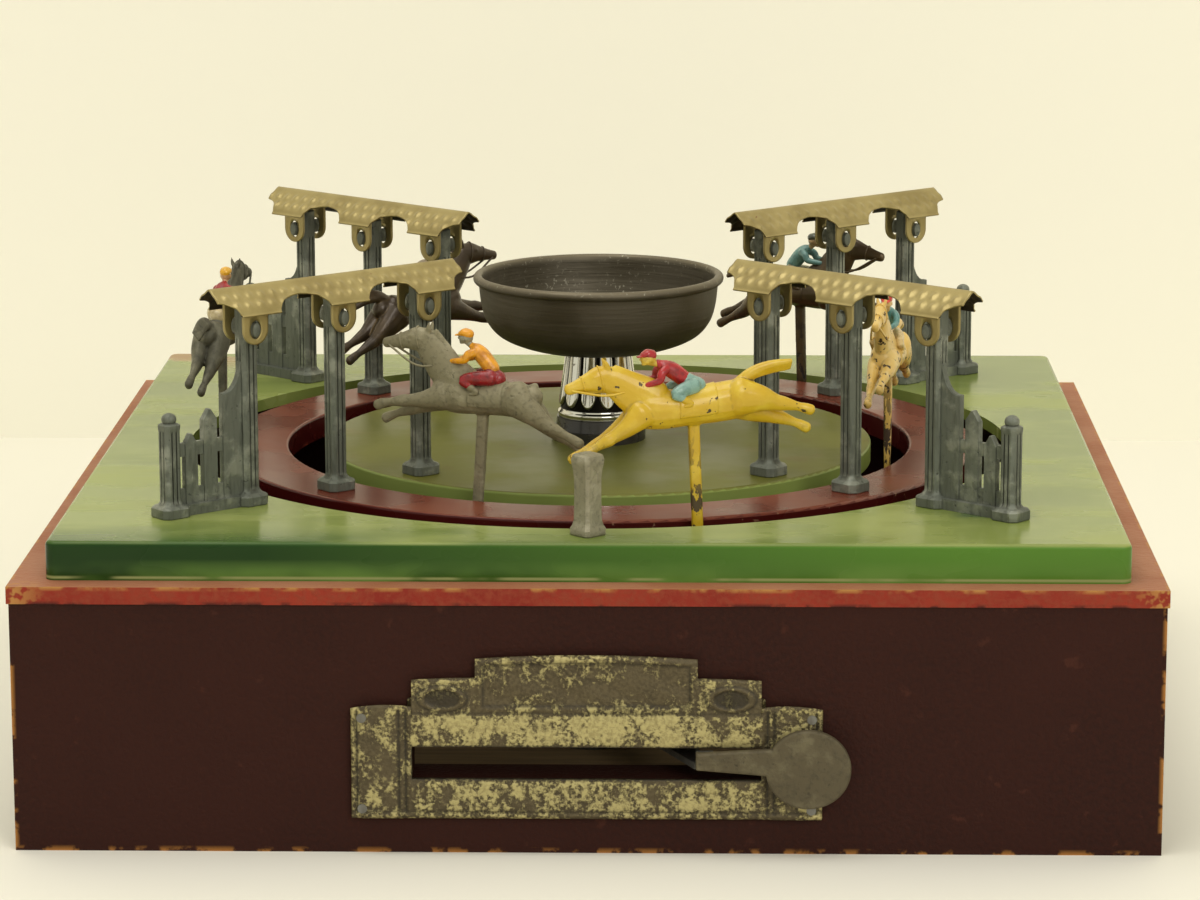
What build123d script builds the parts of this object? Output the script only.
from build123d import *
import math
import os

# A table-top horse race game. A square papered box carries a tin plate with two round slots, the lanes.
# Six cast horses run in the lanes, three to a lane, under four gates. A lever in the box's front turns a
# pinion on the middle spindle, and felt washers drag the two lane carriers round with it.
# Millimetres. X is to the right, Y is away from the front, Z is up, and the box stands on z = 0.

# Box of papered wood
BOX_WIDTH = 264.0
BOX_DEPTH = 252.0
BOX_HEIGHT = 62.1
WALL = 12.0
BOTTOM_THICK = 8.0
PAPER = 0.5
EDGING_DROP = 3.5
BLOCK_SIDE = 16.0
BLOCK_LENGTH = 34.0

# Tin plate, ring and disc
SHEET = 0.8
PLATE_MARGIN_X = 7.5
PLATE_MARGIN_Y = 6.25
PLATE_SKIRT = 9.1
PLATE_CORNER_R = 2.5
PLATE_EDGE_R = 1.2
HOLE_R = 104.5
HOLE_LIP = 3.0
RING_OUTER_R = 96.0
RING_INNER_R = 79.2
RING_SKIRT = 6.0
DISC_R = 69.5
DISC_RISE = 0.4
DISC_SKIRT = 5.0
TIN_EDGE_R = 0.7

# Gates: three columns in a line across the lanes, under a stamped roof
GATE_AZIMUTH = 44.8
GATE_HEADING = 40.7
COLUMN_PITCH = 25.7
COLUMN_SIDE = 4.3
COLUMN_HEIGHT = 47.3
COLUMN_CHAMFER = 0.8
FLUTE_WIDTH = 1.2
FLUTE_DEPTH = 0.4
FLUTE_STOP = 8.0
PLINTH_SIDE = 7.7
PLINTH_HEIGHT = 2.6
PLINTH_CHAMFER = 1.3
SHOULDER = 1.1
PEG_R = 1.2
PEG_CLEARANCE = 0.05
PEG_HEAD_R = 2.0
PEG_HEAD = 0.6
LUG_WIDTH = 2.2
LUG_HEIGHT = 3.6
LUG_REACH = 0.9

# Picket fence, cast in one with the outer column
FENCE_POST_REACH = 22.2
FENCE_POST_SIDE = 4.2
FENCE_POST_HEIGHT = 22.0
FENCE_BALL_R = 1.8
GUSSET_WIDTH = 5.4
GUSSET_INNER = 34.5
GUSSET_OUTER = 27.7
PICKET_GAP = 1.7
PICKET_A_WIDTH = 3.9
PICKET_A_HEIGHT = 24.6
PICKET_B_WIDTH = 3.5
PICKET_B_HEIGHT = 19.3
PICKET_POINT = 2.2
PICKET_THICK = 1.7
RAIL_THICK = 1.1
LOW_RAIL = (1.5, 6.5)
HIGH_RAIL = (14.0, 17.3)
FENCE_SILL = 2.6
FENCE_SILL_DEPTH = 4.4

# Gate roofs
ROOF_LENGTH = 72.0
ROOF_EAVE_RISE = 0.4
ROOF_RISE = 5.1
ROOF_LIP_DROP = 1.1
ROOF_HALF_WIDTH = 6.5
ROOF_LIP_OUT = 0.8
ROOF_SHEET = 0.5
LOBE_WIDTH = 11.2
ARCH_CREST = 3.0
TAB_WIDTH = 7.2
TAB_OFFSET = 4.0
TAB_DROP = 8.3
TAB_HOLE_WIDTH = 3.0
TAB_HOLE_HEIGHT = 4.5
TAB_HOLE_DROP = 4.7

# Finish post
FINISH_Y = -110.5
FINISH_SIDE = 5.4
FINISH_HEIGHT = 19.0
FINISH_BASE_SIDE = 6.6
FINISH_CAP_SIDE = 6.2
FINISH_BASE = 2.0
FINISH_CAP = 1.6

# Stem and bowl
FOOT_R = 12.0
FOOT_TOP_R = 10.6
FOOT_HEIGHT = 5.9
STEM_TOP_R = 8.8
STEM_HEIGHT = 17.0
FLUTES = 12
FLUTE_R = 1.9
BOWL_R = 30.6
BOWL_HEIGHT = 18.5
BOWL_FLAT_R = 12.0
BOWL_WALL = 0.9
BOWL_ROLL_R = 1.2
BOWL_NUT_R = 5.0
BOWL_NUT_HEIGHT = 3.5

# Spindle and what turns on it
SPINDLE_R = 3.0
RUNNING = 0.05
SHOULDER_R = 7.0
SHOULDER_TOP = 19.0
BASE_FLANGE_R = 12.0
BASE_FLANGE_THICK = 3.0
SCREWS = 3
SCREW_CIRCLE_R = 9.5
SCREW_R = 1.0
SCREW_HEAD_R = 1.9
SCREW_HEAD = 1.2
SCREW_GRIP = 5.0
SLEEVE_R = 6.0
FLANGE_R = 20.0
FLANGE_THICK = 3.0
FELT_R = 18.0
FELT_THICK = 1.35
FELT_GAP = 0.15
HUB_R = 11.0
HUB_HEIGHT = 5.0
ARM_WIDTH = 5.0
ARM_THICK = 1.5
ARM_STEP = 1.0
EYE_R = 3.5
COLLAR_R = 9.0
COLLAR_HEIGHT = 5.15

# Lanes and horses: heading is clockwise seen from above
OUTER_LANE_R = 99.8
INNER_LANE_R = 74.4
POST_LENGTH = 2.7
POST_FOOT = 1.4
POST_TOP = 2.4
POST_PEG_R = 1.0
BALL_SWELL = 1.03
HORSE_UNIT = 1.0
HORSES = {
    "horse_yellow": ("outer", "stretched"),
    "horse_bronze": ("outer", "reaching"),
    "horse_pewter": ("outer", "reaching"),
    "horse_grey": ("inner", "stump"),
    "horse_cream": ("inner", "reaching"),
    "horse_brown": ("inner", "reaching"),
}
HORSE_ANGLES = {
    "horse_yellow": -75.0, "horse_bronze": 57.0, "horse_pewter": 170.0,
    "horse_grey": -112.0, "horse_cream": -10.0, "horse_brown": 132.0,
}
POST_LEANS = {
    "horse_yellow": 1.7, "horse_bronze": -1.2, "horse_pewter": 0.8,
    "horse_grey": -2.1, "horse_cream": 0.8, "horse_brown": 0.8,
}

# Plaque and slot in the front
SLOT_HALF = 40.0
SLOT_LOW = 18.0
SLOT_HIGH = 25.7
SLOT_MARGIN = 0.3
PLAQUE_THICK = 2.0
PLAQUE_HALF = 54.0
PLAQUE_LOW = 8.6
PILASTER_TOP = 35.6
STEP_TOP = 42.0
CROWN_HALF = 25.4
CROWN_TOP = 47.4
PLAQUE_RELIEF = 0.4
PILASTER_GROOVE = 0.9
PLAQUE_BORDER = 1.6
OVAL_X = 33.0
OVAL_Z = 36.9
OVAL_LENGTH = 10.4
OVAL_HEIGHT = 5.6
OVAL_BORDER = 0.9
NAIL_X = 51.5
NAIL_ZS = (11.0, 32.5)
NAIL_R = 0.5
NAIL_HEAD_R = 1.1
NAIL_HEAD = 0.4
NAIL_LENGTH = 9.0
NAIL_CLEARANCE = 0.03

# Lever, its pivot, and the toothed sector that drives the pinion
PIVOT_Y = -55.0
PIVOT_R = 2.5
PIVOT_POST_R = 6.0
LEVER_LOW = 21.0
LEVER_THICK = 1.5
BUSH_R = 4.5
BUSH_LOW = 18.0
BUSH_HEIGHT = 9.0
LEVER_HUB_R = 9.0
ARM_REST_X = 27.0
LEVER_ARM_WIDTH = 8.0
TONGUE_WIDTH = 4.0
TAIL_LOW = 21.2
TAIL_HIGH = 25.2
PADDLE_GAP = 1.7
PADDLE_THICK = 1.7
PADDLE_X = 50.7
PADDLE_Z = 21.4
PADDLE_LENGTH = 19.6
PADDLE_HEIGHT = 18.6
TAIL_TIP_X = 25.0
TEETH = 26
MODULE = 1.0
SECTOR_TEETH = 84
SECTOR_FROM = 78.0
SECTOR_TO = 150.0
TOOTH_SHARE = 0.40
ADDENDUM = 0.9
DEDENDUM = 1.1
PRESSURE_ANGLE = 20.0
TEETH_LOW = 19.0
TEETH_HEIGHT = 5.5
WEB_INNER = 6.0

# Return spring round the pivot bush
SPRING_R = 6.5
WIRE_R = 0.5
SPRING_PITCH = 1.5
SPRING_TURNS = 3.25
SPRING_LOW = 23.8
SPRING_LEG = 15.0
SPRING_LEG_SPARE = 2.0
SPRING_PEG_R = 1.5
STUD_R = 1.0

# Levels worked out from the sizes above
PLATE_WIDTH = BOX_WIDTH - 2 * PLATE_MARGIN_X
PLATE_DEPTH = BOX_DEPTH - 2 * PLATE_MARGIN_Y
PLATE_TOP = BOX_HEIGHT + PAPER + PLATE_SKIRT
COLUMN_TOP = PLATE_TOP + COLUMN_HEIGHT
LUG_Z = COLUMN_TOP - TAB_HOLE_DROP
ROOF_EAVE = COLUMN_TOP + ROOF_EAVE_RISE
ROOF_RIDGE = ROOF_EAVE + ROOF_RISE
ROOF_LIP = ROOF_EAVE - ROOF_LIP_DROP
DISC_TOP = PLATE_TOP + DISC_RISE
COLLAR_LOW = DISC_TOP - SHEET - COLLAR_HEIGHT
INNER_HUB_LOW = COLLAR_LOW - FELT_GAP - HUB_HEIGHT
INNER_ARM_TOP = INNER_HUB_LOW + ARM_STEP + ARM_THICK
UPPER_FELT_LOW = INNER_HUB_LOW - FELT_GAP - FELT_THICK
OUTER_HUB_LOW = UPPER_FELT_LOW - HUB_HEIGHT
OUTER_ARM_TOP = OUTER_HUB_LOW + ARM_STEP + ARM_THICK
FLANGE_TOP = OUTER_HUB_LOW - FELT_GAP - FELT_THICK
FLANGE_LOW = FLANGE_TOP - FLANGE_THICK
FOOT_TOP = DISC_TOP + FOOT_HEIGHT
STEM_TOP = FOOT_TOP + STEM_HEIGHT
FRONT = -BOX_DEPTH / 2
RING_MIDDLE_R = (RING_INNER_R + RING_OUTER_R) / 2
PINION_R = TEETH * MODULE / 2
SECTOR_R = SECTOR_TEETH * MODULE / 2


def tube(outer, inner, low, high):
    """A round sleeve on the Z axis between two heights."""
    body = Pos(0, 0, (low + high) / 2) * Cylinder(outer, high - low)
    return body - Pos(0, 0, (low + high) / 2) * Cylinder(inner, high - low + 1)


def block(x0, x1, y0, y1, z0, z1):
    """A box between two corners."""
    middle = Pos((x0 + x1) / 2, (y0 + y1) / 2, (z0 + z1) / 2)
    return middle * Box(x1 - x0, y1 - y0, z1 - z0)


def chain(stations):
    """A limb that swells and tapers: cones between stations (x, y, z, radius), a ball at each.

    Each ball's axis lies along the cone that leaves it, so that the two meet in clean circles.
    """
    points = [Vector(*station[:3]) * HORSE_UNIT for station in stations]
    radii = [station[3] * HORSE_UNIT for station in stations]
    ways = [end - start for start, end in zip(points, points[1:])]
    places = [Plane(origin=point, z_dir=way).location for point, way in zip(points, ways + ways[-1:])]
    pieces = [place * Sphere(radius * BALL_SWELL) for place, radius in zip(places, radii)]
    for place, way, low_r, high_r in zip(places, ways, radii, radii[1:]):
        cone = Cone(low_r, high_r, way.length, align=(Align.CENTER, Align.CENTER, Align.MIN))
        pieces.append(place * cone)
    return pieces[0].fuse(*pieces[1:])


def polar(radius, degrees):
    """The x and y of a point at a radius and an angle about the spindle."""
    return radius * math.cos(math.radians(degrees)), radius * math.sin(math.radians(degrees))


# ---- box ----


def box_front():
    wall = block(-BOX_WIDTH / 2, BOX_WIDTH / 2, FRONT, FRONT + WALL, 0, BOX_HEIGHT)
    slot = block(
        -SLOT_HALF - SLOT_MARGIN,
        SLOT_HALF + SLOT_MARGIN,
        FRONT - 1,
        FRONT + WALL + 1,
        SLOT_LOW - SLOT_MARGIN,
        SLOT_HIGH + SLOT_MARGIN,
    )
    wall -= slot
    for x, z in nail_places():
        bore = Cylinder(NAIL_R + NAIL_CLEARANCE, NAIL_LENGTH + 1)
        wall -= Pos(x, FRONT + NAIL_LENGTH / 2 - 0.5, z) * Rot(90, 0, 0) * bore
    return wall


def box_back():
    return block(-BOX_WIDTH / 2, BOX_WIDTH / 2, -FRONT - WALL, -FRONT, 0, BOX_HEIGHT)


def box_side(side):
    outer, inner = side * BOX_WIDTH / 2, side * (BOX_WIDTH / 2 - WALL)
    return block(min(outer, inner), max(outer, inner), FRONT + WALL, -FRONT - WALL, 0, BOX_HEIGHT)


def box_bottom():
    half_x, half_y = BOX_WIDTH / 2 - WALL, BOX_DEPTH / 2 - WALL
    panel = block(-half_x, half_x, -half_y, half_y, 0, BOTTOM_THICK)
    for x, y in screw_places():
        panel -= Pos(x, y, BOTTOM_THICK) * Cylinder(SCREW_R + RUNNING, 2 * SCREW_GRIP)
    x, y = spring_peg_place()
    return panel - Pos(x, y, BOTTOM_THICK) * Cylinder(SPRING_PEG_R + RUNNING, 2 * SCREW_GRIP)


def corner_blocks():
    """Four wooden blocks in the box's corners, which carry the tin plate."""
    x1, y1 = BOX_WIDTH / 2 - WALL, BOX_DEPTH / 2 - WALL
    top = PLATE_TOP - SHEET
    blocks = []
    for sx in (-1, 1):
        for sy in (-1, 1):
            block_at = Pos(sx * (x1 - BLOCK_SIDE / 2), sy * (y1 - BLOCK_SIDE / 2), top - BLOCK_LENGTH / 2)
            blocks.append(block_at * Box(BLOCK_SIDE, BLOCK_SIDE, BLOCK_LENGTH))
    return Compound(children=blocks)


def paper_edging():
    """Red paper folded over the box's top edge and a little way down its outside."""
    width, depth = BOX_WIDTH + 2 * PAPER, BOX_DEPTH + 2 * PAPER
    low, top = BOX_HEIGHT - EDGING_DROP, BOX_HEIGHT + PAPER
    band = block(-width / 2, width / 2, -depth / 2, depth / 2, low, top)
    band -= block(-BOX_WIDTH / 2, BOX_WIDTH / 2, FRONT, -FRONT, low - 1, BOX_HEIGHT)
    inner_x, inner_y = BOX_WIDTH / 2 - WALL, BOX_DEPTH / 2 - WALL
    return band - block(-inner_x, inner_x, -inner_y, inner_y, low, top + 1)


# ---- tin top ----


def peg_hole(x, y):
    return Pos(x, y, PLATE_TOP) * Cylinder(PEG_R + PEG_CLEARANCE, 2 * PLATE_SKIRT)


def top_plate():
    """A tin tray upside down: flat top, turned-down skirt, and a round hole with a small lip."""
    outline = RectangleRounded(PLATE_WIDTH, PLATE_DEPTH, PLATE_CORNER_R)
    shell = Pos(0, 0, BOX_HEIGHT + PAPER) * extrude(outline, PLATE_SKIRT)
    shell = fillet(shell.faces().sort_by(Axis.Z)[-1].edges(), PLATE_EDGE_R)
    inside = RectangleRounded(PLATE_WIDTH - 2 * SHEET, PLATE_DEPTH - 2 * SHEET, PLATE_CORNER_R - SHEET)
    hollow = Pos(0, 0, BOX_HEIGHT + PAPER) * extrude(inside, PLATE_SKIRT - SHEET)
    hollow -= tube(HOLE_R + SHEET, HOLE_R, PLATE_TOP - HOLE_LIP, PLATE_TOP)
    shell -= hollow
    shell -= Pos(0, 0, PLATE_TOP) * Cylinder(HOLE_R, 4 * PLATE_SKIRT)
    for gate in GATES:
        for reach in (COLUMN_PITCH, COLUMN_PITCH + FENCE_POST_REACH):
            shell -= peg_hole(*gate_point(gate, reach))
    return shell - peg_hole(0, FINISH_Y)


def track_ring():
    """An upside-down channel, which hangs on the middle columns between the lanes."""
    ring = tube(RING_OUTER_R, RING_INNER_R, PLATE_TOP - RING_SKIRT, PLATE_TOP)
    ring = fillet(ring.faces().sort_by(Axis.Z)[-1].edges(), TIN_EDGE_R)
    inside = tube(
        RING_OUTER_R - SHEET, RING_INNER_R + SHEET, PLATE_TOP - RING_SKIRT - 1, PLATE_TOP - SHEET
    )
    ring -= inside
    for gate in GATES:
        ring -= peg_hole(*gate_point(gate, 0))
    return ring


def centre_disc():
    disc = Pos(0, 0, DISC_TOP - DISC_SKIRT / 2) * Cylinder(DISC_R, DISC_SKIRT)
    disc = fillet(disc.faces().sort_by(Axis.Z)[-1].edges(), TIN_EDGE_R)
    disc -= Pos(0, 0, DISC_TOP - SHEET - DISC_SKIRT / 2) * Cylinder(DISC_R - SHEET, DISC_SKIRT)
    disc -= Pos(0, 0, DISC_TOP) * Cylinder(SPINDLE_R + RUNNING, 4)
    for gate in GATES:
        disc -= peg_hole(*gate_point(gate, -COLUMN_PITCH))
    return disc


# ---- gates ----

GATES = {
    "front_left": (-1, -1),
    "front_right": (1, -1),
    "back_left": (-1, 1),
    "back_right": (1, 1),
}


def gate_point(gate, reach):
    """A point on a gate's line, at a reach outwards from its middle column."""
    sx, sy = GATES[gate]
    x, y = polar(RING_MIDDLE_R, GATE_AZIMUTH)
    dx, dy = polar(reach, GATE_HEADING)
    return sx * (x + dx), sy * (y + dy)


def gate_turn(gate):
    """The heading of a gate's line, outwards, in degrees."""
    sx, sy = GATES[gate]
    dx, dy = polar(1, GATE_HEADING)
    return math.degrees(math.atan2(sy * dy, sx * dx))


def octagon(side, corner):
    """A square with its corners cut off."""
    square = Rectangle(side, side)
    return chamfer(square.vertices(), corner)


def plinth(side, base_z):
    """The foot of a casting on tin: a chamfered plinth, a sloped shoulder, and a peened peg below."""
    foot = Pos(0, 0, base_z) * extrude(octagon(PLINTH_SIDE, PLINTH_CHAMFER), PLINTH_HEIGHT)
    low = Pos(0, 0, base_z + PLINTH_HEIGHT) * octagon(PLINTH_SIDE - 1, PLINTH_CHAMFER)
    high = Pos(0, 0, base_z + PLINTH_HEIGHT + SHOULDER) * octagon(side, COLUMN_CHAMFER)
    foot += loft([low, high], ruled=True)
    foot += Pos(0, 0, base_z - SHEET / 2) * Cylinder(PEG_R, SHEET)
    return foot + Pos(0, 0, base_z - SHEET - PEG_HEAD / 2) * Cylinder(PEG_HEAD_R, PEG_HEAD)


def column(base_z):
    """A square lead column with chamfered corners, fluted sides and two lugs for the roof's tabs."""
    shaft = Pos(0, 0, base_z + 1) * extrude(octagon(COLUMN_SIDE, COLUMN_CHAMFER), COLUMN_TOP - base_z - 1)
    flute_low = base_z + PLINTH_HEIGHT + SHOULDER + 1
    for turn in range(4):
        flute = block(
            COLUMN_SIDE / 2 - FLUTE_DEPTH, COLUMN_SIDE, -FLUTE_WIDTH / 2, FLUTE_WIDTH / 2,
            flute_low, COLUMN_TOP - FLUTE_STOP,
        )
        shaft -= Rot(0, 0, 90 * turn) * flute
    reach = TAB_OFFSET + LUG_REACH
    lug = Rot(90, 0, 0) * extrude(Ellipse(LUG_WIDTH / 2, LUG_HEIGHT / 2), reach, both=True)
    return shaft + Pos(0, 0, LUG_Z) * lug + plinth(COLUMN_SIDE, base_z)


def picket(start, width, height):
    """A flat picket with a pointed top, standing on the sill."""
    z = PLATE_TOP
    points = [
        (start, z + 1), (start + width, z + 1), (start + width, z + height - PICKET_POINT),
        (start + width / 2, z + height), (start, z + height - PICKET_POINT),
    ]
    return extrude(Plane.XZ * make_face(Polyline(*points, close=True)), PICKET_THICK / 2, both=True)


def fence():
    """The fence beyond the outer column: a raking gusset, two pickets, two rails and an end post."""
    z = PLATE_TOP
    inner = COLUMN_SIDE / 2
    gusset_end = inner + GUSSET_WIDTH
    start_a = gusset_end + PICKET_GAP
    start_b = start_a + PICKET_A_WIDTH + PICKET_GAP
    rake = ThreePointArc(
        (gusset_end, z + GUSSET_OUTER),
        (inner + GUSSET_WIDTH * 0.42, z + GUSSET_OUTER + (GUSSET_INNER - GUSSET_OUTER) * 0.42),
        (inner - 1, z + GUSSET_INNER),
    )
    sides = Polyline((inner - 1, z + GUSSET_INNER), (inner - 1, z + 1), (gusset_end, z + 1),
                     (gusset_end, z + GUSSET_OUTER))
    gusset = extrude(Plane.XZ * make_face(Curve() + [rake, sides]), PICKET_THICK / 2, both=True)
    whole = gusset + picket(start_a, PICKET_A_WIDTH, PICKET_A_HEIGHT)
    whole += picket(start_b, PICKET_B_WIDTH, PICKET_B_HEIGHT)
    for low, high in (LOW_RAIL, HIGH_RAIL):
        whole += block(inner - 1, FENCE_POST_REACH, -RAIL_THICK / 2, RAIL_THICK / 2, z + low, z + high)
    whole += block(0, FENCE_POST_REACH, -FENCE_SILL_DEPTH / 2, FENCE_SILL_DEPTH / 2, z, z + FENCE_SILL)
    post = Pos(0, 0, z + 1) * extrude(octagon(FENCE_POST_SIDE, COLUMN_CHAMFER), FENCE_POST_HEIGHT - 1)
    post += Pos(0, 0, z + FENCE_POST_HEIGHT + FENCE_BALL_R * 0.6) * Sphere(FENCE_BALL_R)
    post += plinth(FENCE_POST_SIDE, z)
    return whole + Pos(FENCE_POST_REACH, 0, 0) * post


def gate_roof():
    """A folded tin roof along X, cut by arches into three lobes a side, with two tabs at each column."""
    half, lip = ROOF_HALF_WIDTH, ROOF_HALF_WIDTH + ROOF_LIP_OUT
    outer = [(0, ROOF_RIDGE), (half, ROOF_EAVE), (lip, ROOF_LIP)]
    under = [(lip - ROOF_SHEET, ROOF_LIP), (half - ROOF_SHEET, ROOF_EAVE - ROOF_SHEET * 0.6),
             (0, ROOF_RIDGE - ROOF_SHEET * 1.3)]
    right = outer + under
    points = right + [(-y, z) for y, z in reversed(right[1:-1])]
    sheet = extrude(Plane.YZ * make_face(Polyline(*points, close=True)), ROOF_LENGTH / 2, both=True)
    arch_width = COLUMN_PITCH - LOBE_WIDTH
    arch_height = ROOF_RIDGE - ARCH_CREST - ROOF_LIP
    end_width = 2 * (ROOF_LENGTH / 2 - COLUMN_PITCH - LOBE_WIDTH / 2)
    for x, width in (
        (-COLUMN_PITCH / 2, arch_width), (COLUMN_PITCH / 2, arch_width),
        (-ROOF_LENGTH / 2, end_width), (ROOF_LENGTH / 2, end_width),
    ):
        arch = Plane.XZ * Pos(x, ROOF_LIP) * Ellipse(width / 2, arch_height)
        sheet -= extrude(arch, 2 * lip, both=True)
    for x in (-COLUMN_PITCH, 0, COLUMN_PITCH):
        for side in (-1, 1):
            sheet += Pos(x, side * TAB_OFFSET, 0) * roof_tab()
    return sheet


def roof_tab():
    """A tab with a round end and an oval hole, from under the roof down over a column's lug."""
    top = ROOF_RIDGE - (ROOF_RIDGE - ROOF_EAVE) * TAB_OFFSET / ROOF_HALF_WIDTH - ROOF_SHEET
    end_r = TAB_WIDTH / 2
    end_z = COLUMN_TOP - TAB_DROP + end_r
    tab = block(-end_r, end_r, -ROOF_SHEET / 2, ROOF_SHEET / 2, end_z, top)
    tab += Pos(0, 0, end_z) * Rot(90, 0, 0) * Cylinder(end_r, ROOF_SHEET)
    hole = Rot(90, 0, 0) * extrude(Ellipse(TAB_HOLE_WIDTH / 2, TAB_HOLE_HEIGHT / 2), 2, both=True)
    return tab - Pos(0, 0, LUG_Z) * hole


def finish_post():
    """A short square post turned corner to the front, with a spreading foot and cap."""
    z, top = PLATE_TOP, PLATE_TOP + FINISH_HEIGHT
    shaft = octagon(FINISH_SIDE, COLUMN_CHAMFER)
    foot = octagon(FINISH_BASE_SIDE, COLUMN_CHAMFER)
    cap = octagon(FINISH_CAP_SIDE, COLUMN_CHAMFER)
    post = Pos(0, 0, z) * extrude(foot, FINISH_BASE)
    post += loft([Pos(0, 0, z + FINISH_BASE) * foot, Pos(0, 0, z + 2 * FINISH_BASE) * shaft], ruled=True)
    post += Pos(0, 0, z + 1) * extrude(shaft, FINISH_HEIGHT - 2)
    post += loft([Pos(0, 0, top - 2 * FINISH_CAP) * shaft, Pos(0, 0, top - FINISH_CAP) * cap], ruled=True)
    post += Pos(0, 0, top - FINISH_CAP) * extrude(cap, FINISH_CAP)
    post += Pos(0, 0, z - SHEET / 2) * Cylinder(PEG_R, SHEET)
    post += Pos(0, 0, z - SHEET - PEG_HEAD / 2) * Cylinder(PEG_HEAD_R, PEG_HEAD)
    return Pos(0, FINISH_Y, 0) * Rot(0, 0, 45) * post


# ---- stem and bowl ----


def stem_foot():
    rise = FOOT_HEIGHT / 2
    foot = Pos(0, 0, DISC_TOP + rise / 2) * Cylinder(FOOT_R, rise)
    foot += Pos(0, 0, DISC_TOP + rise) * Cone(
        FOOT_R - 1, FOOT_TOP_R, FOOT_HEIGHT - rise, align=(Align.CENTER, Align.CENTER, Align.MIN)
    )
    return foot - Pos(0, 0, FOOT_TOP) * Cylinder(SPINDLE_R + RUNNING, 4 * FOOT_HEIGHT)


def fluted_stem():
    """A tapering stem with rounded flutes that stop short of its foot."""
    stem = Pos(0, 0, FOOT_TOP) * Cone(
        FOOT_TOP_R, STEM_TOP_R, STEM_HEIGHT, align=(Align.CENTER, Align.CENTER, Align.MIN)
    )
    stop = FOOT_TOP + 3.0
    for number in range(FLUTES):
        low_x, low_y = polar(FOOT_TOP_R + 0.7, number * 360 / FLUTES)
        high_x, high_y = polar(STEM_TOP_R + 0.7, number * 360 / FLUTES)
        start, end = Vector(low_x, low_y, stop), Vector(high_x, high_y, STEM_TOP + 2)
        groove = Cylinder(FLUTE_R, (end - start).length, align=(Align.CENTER, Align.CENTER, Align.MIN))
        stem -= Plane(origin=start, z_dir=end - start).location * groove
    return stem - Pos(0, 0, STEM_TOP) * Cylinder(SPINDLE_R + RUNNING, 4 * STEM_HEIGHT)


def bowl():
    """A spun bowl: flat floor, round corner, steep wall, and a rolled rim."""
    z, wall, rim = STEM_TOP, BOWL_WALL, STEM_TOP + BOWL_HEIGHT
    elbow = (BOWL_R - 1.6, z + 0.36 * BOWL_HEIGHT)
    bulge = (BOWL_R - 7.2, z + 0.1 * BOWL_HEIGHT)
    outer = [
        Line((SPINDLE_R + RUNNING, z), (BOWL_FLAT_R, z)),
        ThreePointArc((BOWL_FLAT_R, z), bulge, elbow),
        Line(elbow, (BOWL_R, rim)),
        Line((BOWL_R, rim), (BOWL_R - wall, rim)),
        Line((BOWL_R - wall, rim), (elbow[0] - wall, elbow[1] + 0.3)),
        ThreePointArc(
            (elbow[0] - wall, elbow[1] + 0.3), (bulge[0] - 0.4, bulge[1] + wall), (BOWL_FLAT_R, z + wall)
        ),
        Line((BOWL_FLAT_R, z + wall), (SPINDLE_R + RUNNING, z + wall)),
        Line((SPINDLE_R + RUNNING, z + wall), (SPINDLE_R + RUNNING, z)),
    ]
    shell = revolve(Plane.XZ * make_face(Curve() + outer), Axis.Z)
    return shell + Pos(0, 0, rim) * Torus(BOWL_R, BOWL_ROLL_R)


def bowl_nut():
    low = STEM_TOP + BOWL_WALL
    nut = Pos(0, 0, low + BOWL_NUT_HEIGHT / 2) * Cylinder(BOWL_NUT_R, BOWL_NUT_HEIGHT)
    nut = fillet(nut.faces().sort_by(Axis.Z)[-1].edges(), 1.0)
    return nut - Pos(0, 0, low) * Cylinder(SPINDLE_R + RUNNING, 2 * BOWL_NUT_HEIGHT - 1.6)


# ---- spindle and what turns on it ----


def screw_places():
    """Three screws round the foot of the spindle, and three round the foot of the lever's pivot."""
    places = []
    for foot_y in (0, PIVOT_Y):
        for number in range(SCREWS):
            x, y = polar(SCREW_CIRCLE_R, 30 + number * 360 / SCREWS)
            places.append((x, foot_y + y))
    return places


def base_flange():
    """A round foot on the bottom panel, drilled for its screws."""
    middle = BOTTOM_THICK + BASE_FLANGE_THICK / 2
    flange = Pos(0, 0, middle) * Cylinder(BASE_FLANGE_R, BASE_FLANGE_THICK)
    for x, y in screw_places()[:SCREWS]:
        flange -= Pos(x, y, middle) * Cylinder(SCREW_R + RUNNING, 2 * BASE_FLANGE_THICK)
    return flange


def base_screws():
    seat = BOTTOM_THICK + BASE_FLANGE_THICK
    length = BASE_FLANGE_THICK + SCREW_GRIP
    screws = []
    for x, y in screw_places():
        shank = Pos(x, y, seat - length / 2) * Cylinder(SCREW_R, length)
        head = Pos(x, y, seat + SCREW_HEAD / 2) * Cylinder(SCREW_HEAD_R, SCREW_HEAD)
        screws.append(shank + head)
    return Compound(children=screws)


def spindle():
    top = STEM_TOP + BOWL_WALL + BOWL_NUT_HEIGHT - 1
    rod = Pos(0, 0, (BOTTOM_THICK + top) / 2) * Cylinder(SPINDLE_R, top - BOTTOM_THICK)
    rise = SHOULDER_TOP - BOTTOM_THICK
    shoulder = Pos(0, 0, BOTTOM_THICK + rise / 2) * Cylinder(SHOULDER_R, rise)
    return rod + shoulder + base_flange()


def tooth(radius, direction):
    """A straight-flanked gear tooth: direction 1 points away from the centre."""
    half = MODULE * math.pi * TOOTH_SHARE / 2
    slope = math.tan(math.radians(PRESSURE_ANGLE))
    root, tip = radius - direction * DEDENDUM, radius + direction * ADDENDUM
    root_half, tip_half = half + DEDENDUM * slope, half - ADDENDUM * slope
    sink = 0.6 * direction
    return make_face(Polyline(
        (root - sink, -root_half), (root, -root_half), (tip, -tip_half),
        (tip, tip_half), (root, root_half), (root - sink, root_half), close=True,
    ))


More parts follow.
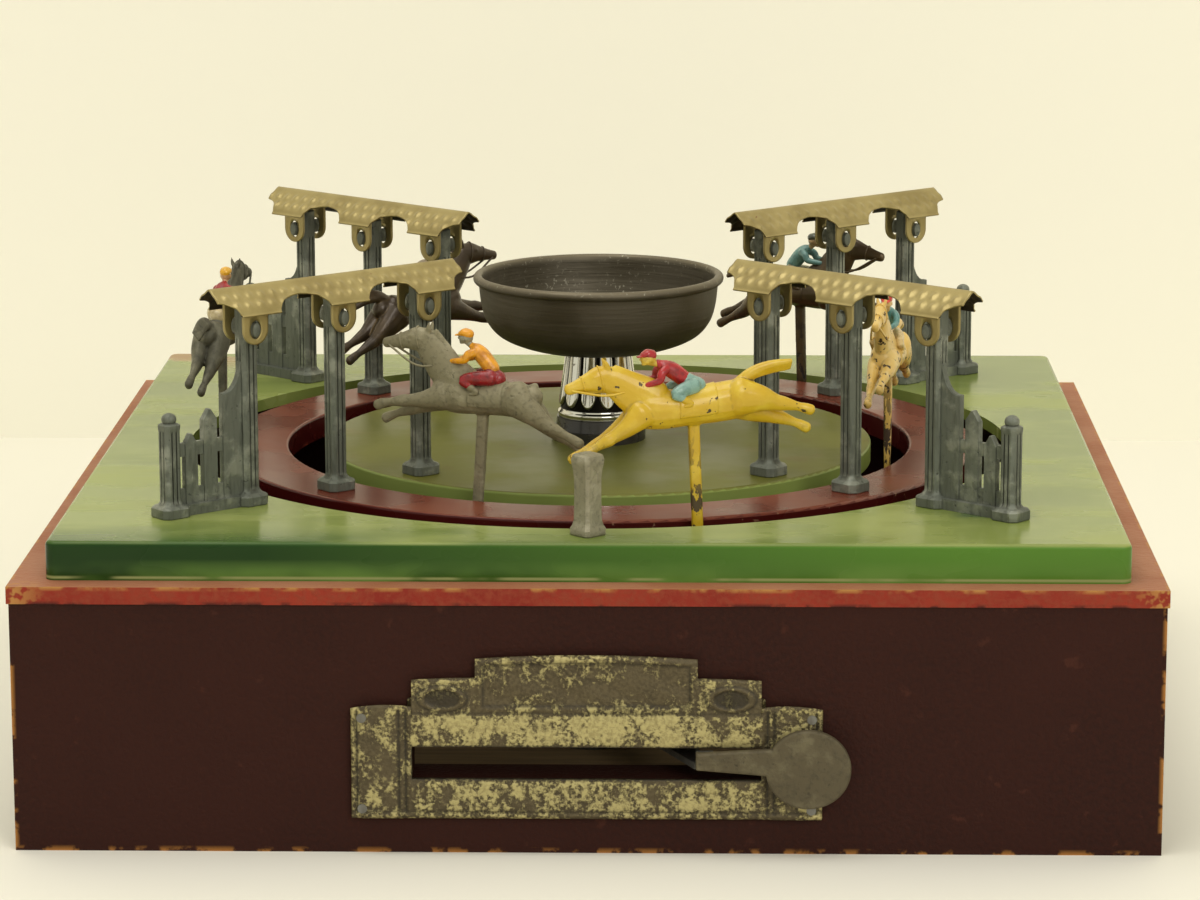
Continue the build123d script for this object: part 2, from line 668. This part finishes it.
def drive_pinion():
    """Pinion, long sleeve and drive flange in one. A gap of the teeth faces the lever's pivot."""
    gear = Circle(PINION_R - DEDENDUM)
    for number in range(TEETH):
        gear += Rot(0, 0, -90 + (number + 0.5) * 360 / TEETH) * tooth(PINION_R, 1)
    body = Pos(0, 0, TEETH_LOW) * extrude(gear, TEETH_HEIGHT)
    body += Pos(0, 0, (TEETH_LOW + FLANGE_TOP) / 2) * Cylinder(SLEEVE_R, FLANGE_TOP - TEETH_LOW)
    body += Pos(0, 0, (FLANGE_LOW + FLANGE_TOP) / 2) * Cylinder(FLANGE_R, FLANGE_THICK)
    return body - Pos(0, 0, FLANGE_LOW) * Cylinder(SPINDLE_R + RUNNING, 4 * FLANGE_LOW)


def felt(low):
    return tube(FELT_R, SPINDLE_R + 4 * RUNNING, low, low + FELT_THICK)


def carrier(low, lane_r, angles):
    """A hub with one flat arm to each horse's post, and an eye at each arm's end."""
    body = Pos(0, 0, low + HUB_HEIGHT / 2) * Cylinder(HUB_R, HUB_HEIGHT)
    arm_low, arm_top = low + ARM_STEP, low + ARM_STEP + ARM_THICK
    for angle in angles:
        arm = block(0, lane_r, -ARM_WIDTH / 2, ARM_WIDTH / 2, arm_low, arm_top)
        arm += Pos(lane_r, 0, (arm_low + arm_top) / 2) * Cylinder(EYE_R, ARM_THICK)
        arm -= Pos(lane_r, 0, arm_low) * Cylinder(POST_PEG_R + PEG_CLEARANCE, 4 * ARM_THICK)
        body += Rot(0, 0, angle) * arm
    return body - Pos(0, 0, low) * Cylinder(SPINDLE_R + RUNNING, 4 * HUB_HEIGHT)


def disc_collar():
    return tube(COLLAR_R, SPINDLE_R + RUNNING, COLLAR_LOW, COLLAR_LOW + COLLAR_HEIGHT)


# ---- horses ----


def stretched_horse():
    """A horse at full stretch with its neck low, and a crouching rider. X is forwards, z from the plate."""
    limbs = [
        [(-12, 0, 30.2, 4.0), (0, 0, 29.6, 3.7), (11, 0, 29.6, 3.9)],
        [(-10, 0, 28.2, 3.6), (3, 0, 27.3, 3.5), (12.3, 0, 27.5, 3.6)],
        [(11.5, 0, 30.5, 3.5), (16.5, 0, 34.0, 2.6), (20.3, 0, 36.1, 2.2)],
        [(20.2, 0, 36.3, 2.3), (24.8, 0, 34.9, 1.8), (28.2, 0, 33.6, 1.2)],
        [(-14.5, 0, 33.0, 1.3), (-18, 0, 35.2, 1.5), (-23.0, 0, 36.5, 0.8)],
        [(14, 1.6, 26.2, 2.1), (18.5, 1.4, 22.4, 1.4), (22.7, 1.2, 19.8, 1.1)],
        [(14, -1.6, 25.6, 2.1), (21, -1.4, 20.6, 1.3), (28.0, -1.2, 16.6, 1.0)],
        [(-13, 1.6, 28.7, 2.7), (-19.5, 1.3, 26.9, 1.6), (-27.6, 1.2, 25.6, 1.0)],
        [(-13, -1.6, 27.5, 2.7), (-20, -1.3, 24.3, 1.5), (-27.6, -1.2, 20.9, 1.0)],
    ]
    rider = [
        [(-1.2, 0, 34.9, 2.0), (2.4, 0, 36.8, 1.8), (5.6, 0, 38.2, 1.9)],
        [(5.6, 0, 38.2, 1.0), (9.6, 0, 40.0, 1.4)],
        [(9.6, 0, 40.9, 1.5), (11.4, 0, 40.6, 0.5)],
    ]
    for side in (-1, 1):
        limbs.append([(20.2, side * 0.9, 37.6, 0.7), (20.5, side * 1.1, 39.2, 0.3)])
        arm = [(5.6, side * 1.7, 37.8, 0.9), (8.2, side * 2.2, 34.9, 0.8), (12.0, side * 1.2, 33.5, 0.7)]
        leg = [(-0.8, side * 1.9, 34.2, 1.5), (2.8, side * 2.7, 31.6, 1.2), (-0.8, side * 2.9, 29.3, 0.9)]
        rider += [arm, leg]
    return limbs + rider


def reaching_horse(tail):
    """A horse with its neck up and its hind legs trailing low, and an upright rider."""
    limbs = [
        [(-9, 0, 24.9, 3.8), (0, 0, 24.4, 3.6), (9, 0, 24.7, 3.8)],
        [(-8, 0, 23.1, 3.5), (2, 0, 22.6, 3.4), (10, 0, 22.9, 3.5)],
        [(9.6, 0, 26.4, 3.4), (11.6, 0, 33.0, 2.5), (13.4, 0, 38.8, 2.0)],
        [(13.7, 0, 39.4, 2.1), (19.0, 0, 38.7, 1.6), (24.9, 0, 37.3, 1.1)],
        [(12, 1.6, 23.2, 1.9), (19, 1.3, 22.9, 1.2), (26.5, 1.2, 22.0, 1.0)],
        [(12, -1.6, 22.4, 1.9), (19.5, -1.3, 20.4, 1.2), (25.6, -1.2, 17.8, 1.0)],
        [(-10.5, 1.5, 22.7, 2.8), (-17, 1.3, 16.8, 1.5), (-25.4, 1.2, 12.4, 1.0)],
        [(-10.5, -1.5, 21.6, 2.8), (-17.5, -1.3, 14.9, 1.4), (-25.0, -1.2, 10.9, 1.0)],
        tail,
    ]
    rider = [
        [(-1.6, 0, 30.0, 2.0), (-0.4, 0, 33.0, 1.7), (1.8, 0, 36.1, 1.8)],
        [(1.8, 0, 36.2, 1.0), (3.3, 0, 38.4, 1.3)],
        [(3.3, 0, 39.3, 1.4), (5.1, 0, 38.9, 0.5)],
    ]
    for side in (-1, 1):
        limbs.append([(12.8, side * 0.8, 40.4, 0.7), (12.3, side * 1.0, 42.0, 0.3)])
        arm = [(2.0, side * 1.7, 35.6, 0.85), (4.4, side * 2.2, 33.1, 0.8), (8.2, side * 1.0, 32.4, 0.7)]
        leg = [(-1.2, side * 1.8, 29.8, 1.4), (2.6, side * 2.6, 27.7, 1.2), (-0.4, side * 2.8, 25.4, 0.9)]
        rider += [arm, leg]
    return limbs + rider


HORSE_SHAPES = {
    "stretched": (stretched_horse, ()),
    "reaching": (reaching_horse, ([(-11.5, 0, 26.8, 1.2), (-16.5, 0, 28.6, 1.5), (-22.5, 0, 27.4, 0.8)],)),
    "stump": (reaching_horse, ([(-11.5, 0, 26.6, 1.2), (-13.6, 0, 27.6, 1.0)],)),
}
BELLY = {"stretched": 25.5, "reaching": 21.0, "stump": 21.0}


def horse_casting(shape):
    """The horse and rider alone, standing over the origin of its own lane."""
    maker, values = HORSE_SHAPES[shape]
    first, *rest = [chain(stations) for stations in maker(*values)]
    casting = first
    for limb in rest:
        casting = casting.fuse(limb)
    return Pos(0, 0, PLATE_TOP) * casting


def horse_post(foot_z, top_z, lean):
    """A flat tapering post that leans along the lane, with a peg through the carrier's eye."""
    foot = Pos(-lean, 0, foot_z) * Rectangle(POST_LENGTH, POST_FOOT)
    top = Pos(0, 0, top_z) * Rectangle(POST_LENGTH, POST_TOP)
    post = loft([foot, top], ruled=True)
    return post + Pos(-lean, 0, foot_z - ARM_THICK / 2) * Cylinder(POST_PEG_R, ARM_THICK)


def horse(name, castings):
    lane, shape = HORSES[name]
    angle, lean = HORSE_ANGLES[name], POST_LEANS[name]
    lane_r, foot_z = (OUTER_LANE_R, OUTER_ARM_TOP) if lane == "outer" else (INNER_LANE_R, INNER_ARM_TOP)
    whole = castings[shape] + horse_post(foot_z, PLATE_TOP + BELLY[shape] * HORSE_UNIT, lean)
    x, y = polar(lane_r, angle)
    return Pos(x, y, 0) * Rot(0, 0, angle - 90) * Pos(lean, 0, 0) * whole


# ---- plaque and lever ----


def nail_places():
    return [(sx * NAIL_X, z) for sx in (-1, 1) for z in NAIL_ZS]


def front_face(points, thickness, start=0.0):
    """An outline of (x, z) points on the box's front, standing out towards the front."""
    sheet = Plane(origin=(0, FRONT - start, 0), x_dir=(1, 0, 0), z_dir=(0, -1, 0))
    return extrude(sheet * make_face(Polyline(*points, close=True)), thickness)


def slot_plaque():
    """A cast plaque: pilasters, a stepped crown, a bare panel and a slot for the lever."""
    half, crown, low = PLAQUE_HALF, CROWN_HALF, PLAQUE_LOW
    outline = [
        (-half, low), (half, low), (half, PILASTER_TOP - 0.8), ((half + SLOT_HALF) / 2, PILASTER_TOP),
        (SLOT_HALF, PILASTER_TOP - 0.8), (SLOT_HALF, STEP_TOP - 0.8), (crown, STEP_TOP),
        (crown, CROWN_TOP - 0.8), (0, CROWN_TOP), (-crown, CROWN_TOP - 0.8), (-crown, STEP_TOP),
        (-SLOT_HALF, STEP_TOP - 0.8), (-SLOT_HALF, PILASTER_TOP - 0.8),
        (-(half + SLOT_HALF) / 2, PILASTER_TOP), (-half, PILASTER_TOP - 0.8),
    ]
    plaque = front_face(outline, PLAQUE_THICK)
    for side in (-1, 1):
        for groove_x in (SLOT_HALF + 1.6, SLOT_HALF + 3.6, half - 3.0):
            x = side * groove_x
            plaque -= block(x - PILASTER_GROOVE / 2, x + PILASTER_GROOVE / 2, FRONT - PLAQUE_THICK - 1,
                            FRONT - PLAQUE_THICK + PLAQUE_RELIEF, low + 3, PILASTER_TOP - 2.5)
        ring = Ellipse(OVAL_LENGTH / 2, OVAL_HEIGHT / 2)
        ring -= Ellipse(OVAL_LENGTH / 2 - OVAL_BORDER, OVAL_HEIGHT / 2 - OVAL_BORDER)
        plaque += Pos(side * OVAL_X, 0, OVAL_Z) * extrude(
            Plane.XZ.offset(-FRONT + PLAQUE_THICK - PLAQUE_RELIEF) * ring, 2 * PLAQUE_RELIEF
        )
    inset = crown - PLAQUE_BORDER
    plaque -= block(-inset, inset, FRONT - PLAQUE_THICK - 1, FRONT - PLAQUE_THICK + PLAQUE_RELIEF,
                    SLOT_HIGH + 7.5, CROWN_TOP - 0.8 - PLAQUE_BORDER)
    plaque -= block(-SLOT_HALF, SLOT_HALF, FRONT - PLAQUE_THICK - 1, FRONT + 1, SLOT_LOW, SLOT_HIGH)
    for x, z in nail_places():
        bore = Cylinder(NAIL_R + NAIL_CLEARANCE, 4 * PLAQUE_THICK)
        plaque -= Pos(x, FRONT, z) * Rot(90, 0, 0) * bore
    return plaque


def plaque_nails():
    nails = []
    for x, z in nail_places():
        face = FRONT - PLAQUE_THICK
        shank = Pos(x, face + NAIL_LENGTH / 2, z) * Rot(90, 0, 0) * Cylinder(NAIL_R, NAIL_LENGTH)
        head = Pos(x, face - NAIL_HEAD / 2, z) * Rot(90, 0, 0) * Cylinder(NAIL_HEAD_R, NAIL_HEAD)
        nails.append(shank + head)
    return Compound(children=nails)


def tongue_front():
    """The y of the lever plate's turned-up tongue, just in front of the plaque."""
    return FRONT - PLAQUE_THICK - PADDLE_GAP


def thumb_piece():
    """A flat cast thumb piece: an oval paddle, and a tail that narrows to the lever's tongue."""
    face = Plane(origin=(0, tongue_front(), 0), x_dir=(1, 0, 0), z_dir=(0, -1, 0))
    root_x = PADDLE_X - PADDLE_LENGTH * 0.42
    tail = make_face(Polyline(
        (TAIL_TIP_X, TAIL_LOW), (root_x, TAIL_LOW - 1.4), (root_x, TAIL_HIGH + 1.0),
        (TAIL_TIP_X, TAIL_HIGH), close=True,
    ))
    paddle = Pos(PADDLE_X, PADDLE_Z) * Ellipse(PADDLE_LENGTH / 2, PADDLE_HEIGHT / 2)
    piece = extrude(face * (tail + paddle), PADDLE_THICK)
    return chamfer(piece.faces().sort_by(Axis.Y)[0].edges(), 0.4)


def lever_plate():
    """A steel plate on the pivot: an arm out through the slot, a turned-up tongue, and a toothed sector."""
    pivot = Pos(0, PIVOT_Y, LEVER_LOW)
    reach = math.hypot(ARM_REST_X, tongue_front() + LEVER_THICK - PIVOT_Y)
    arm_turn = math.degrees(math.atan2(tongue_front() - PIVOT_Y, ARM_REST_X))
    flat = Circle(LEVER_HUB_R)
    narrow = (FRONT + WALL - PIVOT_Y) / (tongue_front() - PIVOT_Y) * reach - 6
    flat += Rot(0, 0, arm_turn) * make_face(Polyline(
        (0, -LEVER_ARM_WIDTH / 2), (narrow, -LEVER_ARM_WIDTH / 2), (reach, -TONGUE_WIDTH / 2),
        (reach, TONGUE_WIDTH / 2), (narrow, LEVER_ARM_WIDTH / 2), (0, LEVER_ARM_WIDTH / 2), close=True,
    ))
    flat += sector_outline()
    plate = pivot * extrude(flat, LEVER_THICK)
    tongue_y = tongue_front()
    plate -= block(-PLAQUE_HALF, PLAQUE_HALF, tongue_y - 20, tongue_y, 0, BOX_HEIGHT)
    plate += block(
        ARM_REST_X - TONGUE_WIDTH / 2, ARM_REST_X + TONGUE_WIDTH / 2,
        tongue_y, tongue_y + LEVER_THICK, LEVER_LOW, TAIL_HIGH,
    )
    stud_x = SPRING_R + WIRE_R + STUD_R + 2 * RUNNING
    stud = Pos(stud_x, -13.5, LEVER_THICK) * Cylinder(
        STUD_R, SPRING_LOW + WIRE_R - LEVER_LOW - LEVER_THICK, align=(Align.CENTER, Align.CENTER, Align.MIN)
    )
    plate += pivot * stud
    return plate - pivot * Cylinder(BUSH_R + RUNNING / 2, 20)


def sector_outline():
    """The toothed sector on its web, about the pivot. A tooth points at the spindle when at rest."""
    root = SECTOR_R - DEDENDUM
    ends = [polar(root, SECTOR_FROM), polar(root, SECTOR_TO)]
    middle = polar(root, (SECTOR_FROM + SECTOR_TO) / 2)
    web = make_face(Curve() + [
        ThreePointArc(ends[0], middle, ends[1]),
        Polyline(ends[1], polar(WEB_INNER, SECTOR_TO), polar(WEB_INNER, SECTOR_FROM), ends[0]),
    ])
    step = 360 / SECTOR_TEETH
    count_low = math.ceil((SECTOR_FROM - 90) / step + 0.5)
    count_high = math.floor((SECTOR_TO - 90) / step - 0.5)
    for number in range(count_low, count_high + 1):
        web += Rot(0, 0, 90 + number * step) * tooth(SECTOR_R, 1)
    return web


def lever_bush():
    return Pos(0, PIVOT_Y, 0) * tube(BUSH_R, PIVOT_R + RUNNING, BUSH_LOW, BUSH_LOW + BUSH_HEIGHT)


def lever_pivot():
    top = BUSH_LOW + BUSH_HEIGHT + 3
    rod = Pos(0, 0, (BOTTOM_THICK + top) / 2) * Cylinder(PIVOT_R, top - BOTTOM_THICK)
    rise = BUSH_LOW - BOTTOM_THICK
    post = Pos(0, 0, BOTTOM_THICK + rise / 2) * Cylinder(PIVOT_POST_R, rise)
    return Pos(0, PIVOT_Y, 0) * (rod + post + base_flange())


def pivot_collar():
    low = BUSH_LOW + BUSH_HEIGHT + FELT_GAP
    return Pos(0, PIVOT_Y, 0) * tube(BUSH_R + 0.5, PIVOT_R + RUNNING, low, low + 2.4)


def spring_peg_place():
    """The peg stands against the front side of the spring's fixed leg."""
    return -SPRING_LEG, PIVOT_Y + SPRING_R - WIRE_R - SPRING_PEG_R - RUNNING


def spring_peg():
    x, y = spring_peg_place()
    top = SPRING_LOW + SPRING_TURNS * SPRING_PITCH + 2
    low = BOTTOM_THICK - SCREW_GRIP
    return Pos(x, y, (low + top) / 2) * Cylinder(SPRING_PEG_R, top - low)


def return_spring():
    """A torsion coil round the bush, with a leg along the lever's arm and a leg to the peg.

    The coil is made of quarter turns. Each is a flat arc that starts the way the last one ended.
    """
    quarters = round(4 * SPRING_TURNS)
    rise = SPRING_PITCH / 4
    slope = rise / (2 * SPRING_R)
    joints = [Vector(*polar(SPRING_R, 90 * number), rise * number) for number in range(quarters + 1)]
    ways = [Vector(*polar(1, 90 * number + 90), slope) for number in range(quarters + 1)]
    edges = [Line(joints[0] - ways[0] * SPRING_LEG, joints[0])]
    for start, way, end in zip(joints, ways, joints[1:]):
        edges.append(TangentArc(start, end, tangent=way))
    edges.append(Line(joints[-1], joints[-1] + ways[-1] * (SPRING_LEG + SPRING_LEG_SPARE)))
    path = Wire(edges)
    section = Plane(origin=path @ 0, z_dir=path % 0) * Circle(WIRE_R)
    print(f"return_spring: {SPRING_PITCH - 2 * WIRE_R:.2f} mm between its turns")
    return Pos(0, PIVOT_Y, SPRING_LOW) * sweep(section, path=path)


def parts():
    """Every node's name and shape."""
    made = {
        "box_front": box_front(),
        "box_back": box_back(),
        "box_left": box_side(-1),
        "box_right": box_side(1),
        "box_bottom": box_bottom(),
        "corner_blocks": corner_blocks(),
        "paper_edging": paper_edging(),
        "top_plate": top_plate(),
        "track_ring": track_ring(),
        "centre_disc": centre_disc(),
        "finish_post": finish_post(),
        "stem_foot": stem_foot(),
        "fluted_stem": fluted_stem(),
        "bowl": bowl(),
        "bowl_nut": bowl_nut(),
        "spindle": spindle(),
        "base_screws": base_screws(),
        "disc_collar": disc_collar(),
        "drive_pinion": drive_pinion(),
        "lower_felt": felt(FLANGE_TOP),
        "upper_felt": felt(UPPER_FELT_LOW),
        "slot_plaque": slot_plaque(),
        "plaque_nails": plaque_nails(),
        "thumb_piece": thumb_piece(),
        "lever_plate": lever_plate(),
        "lever_bush": lever_bush(),
        "lever_pivot": lever_pivot(),
        "pivot_collar": pivot_collar(),
        "return_spring": return_spring(),
        "spring_peg": spring_peg(),
    }
    disc_column, ring_column, roof = column(DISC_TOP), column(PLATE_TOP), gate_roof()
    fence_column = ring_column + fence()
    for gate in GATES:
        for name, shape, reach in (
            ("column_inner_", disc_column, -COLUMN_PITCH),
            ("column_middle_", ring_column, 0),
            ("fence_column_", fence_column, COLUMN_PITCH),
            ("gate_roof_", roof, 0),
        ):
            x, y = gate_point(gate, reach)
            made[name + gate] = Pos(x, y, 0) * Rot(0, 0, gate_turn(gate)) * shape
    castings = {shape: horse_casting(shape) for shape in HORSE_SHAPES}
    for name in HORSES:
        made[name] = horse(name, castings)
    for lane, low, lane_r in (
        ("outer", OUTER_HUB_LOW, OUTER_LANE_R), ("inner", INNER_HUB_LOW, INNER_LANE_R)
    ):
        angles = [HORSE_ANGLES[name] for name in HORSES if HORSES[name][0] == lane]
        made[lane + "_carrier"] = carrier(low, lane_r, angles)
    return made


os.makedirs("parts", exist_ok=True)
for name, shape in parts().items():
    export_step(shape, f"parts/{name}.step")
